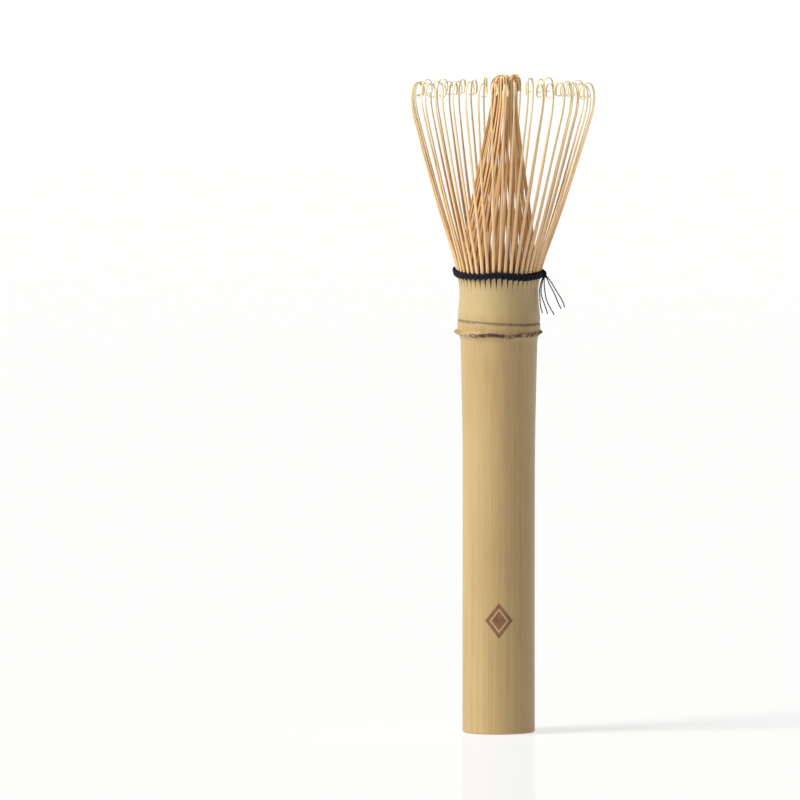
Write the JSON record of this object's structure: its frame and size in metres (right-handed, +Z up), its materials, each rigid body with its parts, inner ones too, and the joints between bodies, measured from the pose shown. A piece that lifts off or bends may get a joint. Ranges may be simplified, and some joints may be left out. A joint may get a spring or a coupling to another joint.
{
  "type": "bamboo tea whisk",
  "caption": "Long-handled bamboo tea whisk: hollow culm handle, flared outer tines with curled tips, a closed inner cone, and a woven cotton binding.",
  "frame": {"origin": "on the handle's axis, in the flat bottom end that the whisk stands on: the centre of the bore's open end", "axes": "+Z up along the handle to the tines; -Y is the front; +X is the side where the thread's loose ends hang"},
  "size_m": [0.0615, 0.0616, 0.2195],
  "materials": {
    "bamboo_skin": "dried bamboo skin, satin, with fine lengthwise fibres",
    "outer_tine_bamboo": "split bamboo, matt, paler towards the shaved tips",
    "inner_tine_bamboo": "split bamboo, matt, golden brown",
    "cotton_thread": "plied navy-black cotton"
  },
  "bodies": {
    "root": {"culm_handle": "bamboo_skin", "binding_thread": "cotton_thread", "thread_tails": "cotton_thread", "inner_tines_1": "inner_tine_bamboo", "inner_tines_2": "inner_tine_bamboo", "inner_tines_3": "inner_tine_bamboo", "inner_tines_4": "inner_tine_bamboo", "inner_tines_5": "inner_tine_bamboo", "inner_tines_6": "inner_tine_bamboo", "inner_tines_7": "inner_tine_bamboo", "inner_tines_8": "inner_tine_bamboo", "inner_tines_9": "inner_tine_bamboo"},
    "outer_tine_01": {"outer_tine_01": "outer_tine_bamboo"},
    "outer_tine_02": {"outer_tine_02": "outer_tine_bamboo"},
    "outer_tine_03": {"outer_tine_03": "outer_tine_bamboo"},
    "outer_tine_04": {"outer_tine_04": "outer_tine_bamboo"},
    "outer_tine_05": {"outer_tine_05": "outer_tine_bamboo"},
    "outer_tine_06": {"outer_tine_06": "outer_tine_bamboo"},
    "outer_tine_07": {"outer_tine_07": "outer_tine_bamboo"},
    "outer_tine_08": {"outer_tine_08": "outer_tine_bamboo"},
    "outer_tine_09": {"outer_tine_09": "outer_tine_bamboo"},
    "outer_tine_10": {"outer_tine_10": "outer_tine_bamboo"},
    "outer_tine_11": {"outer_tine_11": "outer_tine_bamboo"},
    "outer_tine_12": {"outer_tine_12": "outer_tine_bamboo"},
    "outer_tine_13": {"outer_tine_13": "outer_tine_bamboo"},
    "outer_tine_14": {"outer_tine_14": "outer_tine_bamboo"},
    "outer_tine_15": {"outer_tine_15": "outer_tine_bamboo"},
    "outer_tine_16": {"outer_tine_16": "outer_tine_bamboo"},
    "outer_tine_17": {"outer_tine_17": "outer_tine_bamboo"},
    "outer_tine_18": {"outer_tine_18": "outer_tine_bamboo"},
    "outer_tine_19": {"outer_tine_19": "outer_tine_bamboo"},
    "outer_tine_20": {"outer_tine_20": "outer_tine_bamboo"},
    "outer_tine_21": {"outer_tine_21": "outer_tine_bamboo"},
    "outer_tine_22": {"outer_tine_22": "outer_tine_bamboo"},
    "outer_tine_23": {"outer_tine_23": "outer_tine_bamboo"},
    "outer_tine_24": {"outer_tine_24": "outer_tine_bamboo"},
    "outer_tine_25": {"outer_tine_25": "outer_tine_bamboo"},
    "outer_tine_26": {"outer_tine_26": "outer_tine_bamboo"},
    "outer_tine_27": {"outer_tine_27": "outer_tine_bamboo"},
    "outer_tine_28": {"outer_tine_28": "outer_tine_bamboo"},
    "outer_tine_29": {"outer_tine_29": "outer_tine_bamboo"},
    "outer_tine_30": {"outer_tine_30": "outer_tine_bamboo"},
    "outer_tine_31": {"outer_tine_31": "outer_tine_bamboo"},
    "outer_tine_32": {"outer_tine_32": "outer_tine_bamboo"},
    "outer_tine_33": {"outer_tine_33": "outer_tine_bamboo"},
    "outer_tine_34": {"outer_tine_34": "outer_tine_bamboo"},
    "outer_tine_35": {"outer_tine_35": "outer_tine_bamboo"},
    "outer_tine_36": {"outer_tine_36": "outer_tine_bamboo"},
    "outer_tine_37": {"outer_tine_37": "outer_tine_bamboo"},
    "outer_tine_38": {"outer_tine_38": "outer_tine_bamboo"},
    "outer_tine_39": {"outer_tine_39": "outer_tine_bamboo"},
    "outer_tine_40": {"outer_tine_40": "outer_tine_bamboo"},
    "outer_tine_41": {"outer_tine_41": "outer_tine_bamboo"},
    "outer_tine_42": {"outer_tine_42": "outer_tine_bamboo"},
    "outer_tine_43": {"outer_tine_43": "outer_tine_bamboo"},
    "outer_tine_44": {"outer_tine_44": "outer_tine_bamboo"},
    "outer_tine_45": {"outer_tine_45": "outer_tine_bamboo"}
  },
  "joints": [
    {"name": "outer_tine_01_flex", "type": "hinge", "parent": "root", "child": "outer_tine_01", "pos_m": [0, -0.0136, 0.153], "axis": [0.9997, 0, -0.0235], "range_deg": [-10, 5], "stiffness_Nm_per_rad": 0.01},
    {"name": "outer_tine_02_flex", "type": "hinge", "parent": "root", "child": "outer_tine_02", "pos_m": [0.00189, -0.01347, 0.153], "axis": [0.9902, 0.1392, -0.0105], "range_deg": [-10, 5], "stiffness_Nm_per_rad": 0.01},
    {"name": "outer_tine_03_flex", "type": "hinge", "parent": "root", "child": "outer_tine_03", "pos_m": [0.00375, -0.01307, 0.153], "axis": [0.9611, 0.2756, -0.016], "range_deg": [-10, 5], "stiffness_Nm_per_rad": 0.01},
    {"name": "outer_tine_04_flex", "type": "hinge", "parent": "root", "child": "outer_tine_04", "pos_m": [0.00553, -0.01242, 0.153], "axis": [0.9132, 0.4066, -0.0257], "range_deg": [-10, 5], "stiffness_Nm_per_rad": 0.01},
    {"name": "outer_tine_05_flex", "type": "hinge", "parent": "root", "child": "outer_tine_05", "pos_m": [0.00721, -0.01153, 0.153], "axis": [0.8478, 0.5298, -0.023], "range_deg": [-10, 5], "stiffness_Nm_per_rad": 0.01},
    {"name": "outer_tine_06_flex", "type": "hinge", "parent": "root", "child": "outer_tine_06", "pos_m": [0.00874, -0.01042, 0.153], "axis": [0.7659, 0.6427, -0.0182], "range_deg": [-10, 5], "stiffness_Nm_per_rad": 0.01},
    {"name": "outer_tine_07_flex", "type": "hinge", "parent": "root", "child": "outer_tine_07", "pos_m": [0.01011, -0.0091, 0.153], "axis": [0.6691, 0.7431, -0.0017], "range_deg": [-10, 5], "stiffness_Nm_per_rad": 0.01},
    {"name": "outer_tine_08_flex", "type": "hinge", "parent": "root", "child": "outer_tine_08", "pos_m": [0.01127, -0.0076, 0.153], "axis": [0.5592, 0.829, -0.0113], "range_deg": [-10, 5], "stiffness_Nm_per_rad": 0.01},
    {"name": "outer_tine_09_flex", "type": "hinge", "parent": "root", "child": "outer_tine_09", "pos_m": [0.01222, -0.00596, 0.153], "axis": [0.4383, 0.8986, -0.0181], "range_deg": [-10, 5], "stiffness_Nm_per_rad": 0.01},
    {"name": "outer_tine_10_flex", "type": "hinge", "parent": "root", "child": "outer_tine_10", "pos_m": [0.01293, -0.0042, 0.153], "axis": [0.309, 0.951, -0.0054], "range_deg": [-10, 5], "stiffness_Nm_per_rad": 0.01},
    {"name": "outer_tine_11_flex", "type": "hinge", "parent": "root", "child": "outer_tine_11", "pos_m": [0.01339, -0.00236, 0.153], "axis": [0.1736, 0.9848, -0.0014], "range_deg": [-10, 5], "stiffness_Nm_per_rad": 0.01},
    {"name": "outer_tine_12_flex", "type": "hinge", "parent": "root", "child": "outer_tine_12", "pos_m": [0.01359, -0.00047, 0.153], "axis": [0.0349, 0.9994, 0.0044], "range_deg": [-10, 5], "stiffness_Nm_per_rad": 0.01},
    {"name": "outer_tine_13_flex", "type": "hinge", "parent": "root", "child": "outer_tine_13", "pos_m": [0.01353, 0.00142, 0.153], "axis": [-0.1045, 0.9945, 0.0046], "range_deg": [-10, 5], "stiffness_Nm_per_rad": 0.01},
    {"name": "outer_tine_14_flex", "type": "hinge", "parent": "root", "child": "outer_tine_14", "pos_m": [0.0132, 0.00329, 0.153], "axis": [-0.2419, 0.9703, -0.0058], "range_deg": [-10, 5], "stiffness_Nm_per_rad": 0.01},
    {"name": "outer_tine_15_flex", "type": "hinge", "parent": "root", "child": "outer_tine_15", "pos_m": [0.01261, 0.00509, 0.153], "axis": [-0.3746, 0.9272, 0.0049], "range_deg": [-10, 5], "stiffness_Nm_per_rad": 0.01},
    {"name": "outer_tine_16_flex", "type": "hinge", "parent": "root", "child": "outer_tine_16", "pos_m": [0.01178, 0.0068, 0.153], "axis": [-0.5, 0.866, 0.0056], "range_deg": [-10, 5], "stiffness_Nm_per_rad": 0.01},
    {"name": "outer_tine_17_flex", "type": "hinge", "parent": "root", "child": "outer_tine_17", "pos_m": [0.01072, 0.00837, 0.153], "axis": [-0.6157, 0.788, 0.0054], "range_deg": [-10, 5], "stiffness_Nm_per_rad": 0.01},
    {"name": "outer_tine_18_flex", "type": "hinge", "parent": "root", "child": "outer_tine_18", "pos_m": [0.00945, 0.00978, 0.153], "axis": [-0.7193, 0.6946, 0.0118], "range_deg": [-10, 5], "stiffness_Nm_per_rad": 0.01},
    {"name": "outer_tine_19_flex", "type": "hinge", "parent": "root", "child": "outer_tine_19", "pos_m": [0.00799, 0.011, 0.153], "axis": [-0.809, 0.5878, 0.0106], "range_deg": [-10, 5], "stiffness_Nm_per_rad": 0.01},
    {"name": "outer_tine_20_flex", "type": "hinge", "parent": "root", "child": "outer_tine_20", "pos_m": [0.00638, 0.01201, 0.153], "axis": [-0.8827, 0.4693, 0.0237], "range_deg": [-10, 5], "stiffness_Nm_per_rad": 0.01},
    {"name": "outer_tine_21_flex", "type": "hinge", "parent": "root", "child": "outer_tine_21", "pos_m": [0.00465, 0.01278, 0.153], "axis": [-0.9394, 0.3419, 0.023], "range_deg": [-10, 5], "stiffness_Nm_per_rad": 0.01},
    {"name": "outer_tine_22_flex", "type": "hinge", "parent": "root", "child": "outer_tine_22", "pos_m": [0.00283, 0.0133, 0.153], "axis": [-0.978, 0.2079, 0.0156], "range_deg": [-10, 5], "stiffness_Nm_per_rad": 0.01},
    {"name": "outer_tine_23_flex", "type": "hinge", "parent": "root", "child": "outer_tine_23", "pos_m": [0.00095, 0.01357, 0.153], "axis": [-0.9972, 0.0697, 0.0269], "range_deg": [-10, 5], "stiffness_Nm_per_rad": 0.01},
    {"name": "outer_tine_24_flex", "type": "hinge", "parent": "root", "child": "outer_tine_24", "pos_m": [-0.00095, 0.01357, 0.153], "axis": [-0.9974, -0.0697, 0.0159], "range_deg": [-10, 5], "stiffness_Nm_per_rad": 0.01},
    {"name": "outer_tine_25_flex", "type": "hinge", "parent": "root", "child": "outer_tine_25", "pos_m": [-0.00283, 0.0133, 0.153], "axis": [-0.9779, -0.2079, 0.0232], "range_deg": [-10, 5], "stiffness_Nm_per_rad": 0.01},
    {"name": "outer_tine_26_flex", "type": "hinge", "parent": "root", "child": "outer_tine_26", "pos_m": [-0.00465, 0.01278, 0.153], "axis": [-0.9396, -0.342, 0.0153], "range_deg": [-10, 5], "stiffness_Nm_per_rad": 0.01},
    {"name": "outer_tine_27_flex", "type": "hinge", "parent": "root", "child": "outer_tine_27", "pos_m": [-0.00638, 0.01201, 0.153], "axis": [-0.8827, -0.4693, 0.0253], "range_deg": [-10, 5], "stiffness_Nm_per_rad": 0.01},
    {"name": "outer_tine_28_flex", "type": "hinge", "parent": "root", "child": "outer_tine_28", "pos_m": [-0.00799, 0.011, 0.153], "axis": [-0.809, -0.5877, 0.0122], "range_deg": [-10, 5], "stiffness_Nm_per_rad": 0.01},
    {"name": "outer_tine_29_flex", "type": "hinge", "parent": "root", "child": "outer_tine_29", "pos_m": [-0.00945, 0.00978, 0.153], "axis": [-0.7193, -0.6946, 0.0136], "range_deg": [-10, 5], "stiffness_Nm_per_rad": 0.01},
    {"name": "outer_tine_30_flex", "type": "hinge", "parent": "root", "child": "outer_tine_30", "pos_m": [-0.01072, 0.00837, 0.153], "axis": [-0.6156, -0.788, 0.012], "range_deg": [-10, 5], "stiffness_Nm_per_rad": 0.01},
    {"name": "outer_tine_31_flex", "type": "hinge", "parent": "root", "child": "outer_tine_31", "pos_m": [-0.01178, 0.0068, 0.153], "axis": [-0.5, -0.866, 0.0033], "range_deg": [-10, 5], "stiffness_Nm_per_rad": 0.01},
    {"name": "outer_tine_32_flex", "type": "hinge", "parent": "root", "child": "outer_tine_32", "pos_m": [-0.01261, 0.00509, 0.153], "axis": [-0.3746, -0.9272, 0.0045], "range_deg": [-10, 5], "stiffness_Nm_per_rad": 0.01},
    {"name": "outer_tine_33_flex", "type": "hinge", "parent": "root", "child": "outer_tine_33", "pos_m": [-0.0132, 0.00329, 0.153], "axis": [-0.2419, -0.9702, 0.0142], "range_deg": [-10, 5], "stiffness_Nm_per_rad": 0.01},
    {"name": "outer_tine_34_flex", "type": "hinge", "parent": "root", "child": "outer_tine_34", "pos_m": [-0.01353, 0.00142, 0.153], "axis": [-0.1045, -0.9945, -0.0086], "range_deg": [-10, 5], "stiffness_Nm_per_rad": 0.01},
    {"name": "outer_tine_35_flex", "type": "hinge", "parent": "root", "child": "outer_tine_35", "pos_m": [-0.01359, -0.00047, 0.153], "axis": [0.0349, -0.9994, 0.0065], "range_deg": [-10, 5], "stiffness_Nm_per_rad": 0.01},
    {"name": "outer_tine_36_flex", "type": "hinge", "parent": "root", "child": "outer_tine_36", "pos_m": [-0.01339, -0.00236, 0.153], "axis": [0.1736, -0.9848, 0], "range_deg": [-10, 5], "stiffness_Nm_per_rad": 0.01},
    {"name": "outer_tine_37_flex", "type": "hinge", "parent": "root", "child": "outer_tine_37", "pos_m": [-0.01293, -0.0042, 0.153], "axis": [0.309, -0.9511, -0.0004], "range_deg": [-10, 5], "stiffness_Nm_per_rad": 0.01},
    {"name": "outer_tine_38_flex", "type": "hinge", "parent": "root", "child": "outer_tine_38", "pos_m": [-0.01222, -0.00596, 0.153], "axis": [0.4383, -0.8987, -0.0126], "range_deg": [-10, 5], "stiffness_Nm_per_rad": 0.01},
    {"name": "outer_tine_39_flex", "type": "hinge", "parent": "root", "child": "outer_tine_39", "pos_m": [-0.01127, -0.0076, 0.153], "axis": [0.5592, -0.829, -0.0083], "range_deg": [-10, 5], "stiffness_Nm_per_rad": 0.01},
    {"name": "outer_tine_40_flex", "type": "hinge", "parent": "root", "child": "outer_tine_40", "pos_m": [-0.01011, -0.0091, 0.153], "axis": [0.669, -0.743, -0.0175], "range_deg": [-10, 5], "stiffness_Nm_per_rad": 0.01},
    {"name": "outer_tine_41_flex", "type": "hinge", "parent": "root", "child": "outer_tine_41", "pos_m": [-0.00874, -0.01042, 0.153], "axis": [0.766, -0.6428, -0.0069], "range_deg": [-10, 5], "stiffness_Nm_per_rad": 0.01},
    {"name": "outer_tine_42_flex", "type": "hinge", "parent": "root", "child": "outer_tine_42", "pos_m": [-0.00721, -0.01153, 0.153], "axis": [0.8479, -0.5299, -0.0159], "range_deg": [-10, 5], "stiffness_Nm_per_rad": 0.01},
    {"name": "outer_tine_43_flex", "type": "hinge", "parent": "root", "child": "outer_tine_43", "pos_m": [-0.00553, -0.01242, 0.153], "axis": [0.9135, -0.4067, -0.0143], "range_deg": [-10, 5], "stiffness_Nm_per_rad": 0.01},
    {"name": "outer_tine_44_flex", "type": "hinge", "parent": "root", "child": "outer_tine_44", "pos_m": [-0.00375, -0.01307, 0.153], "axis": [0.9611, -0.2756, -0.0209], "range_deg": [-10, 5], "stiffness_Nm_per_rad": 0.01},
    {"name": "outer_tine_45_flex", "type": "hinge", "parent": "root", "child": "outer_tine_45", "pos_m": [-0.00189, -0.01347, 0.153], "axis": [0.99, -0.1391, -0.0245], "range_deg": [-10, 5], "stiffness_Nm_per_rad": 0.01}
  ]
}
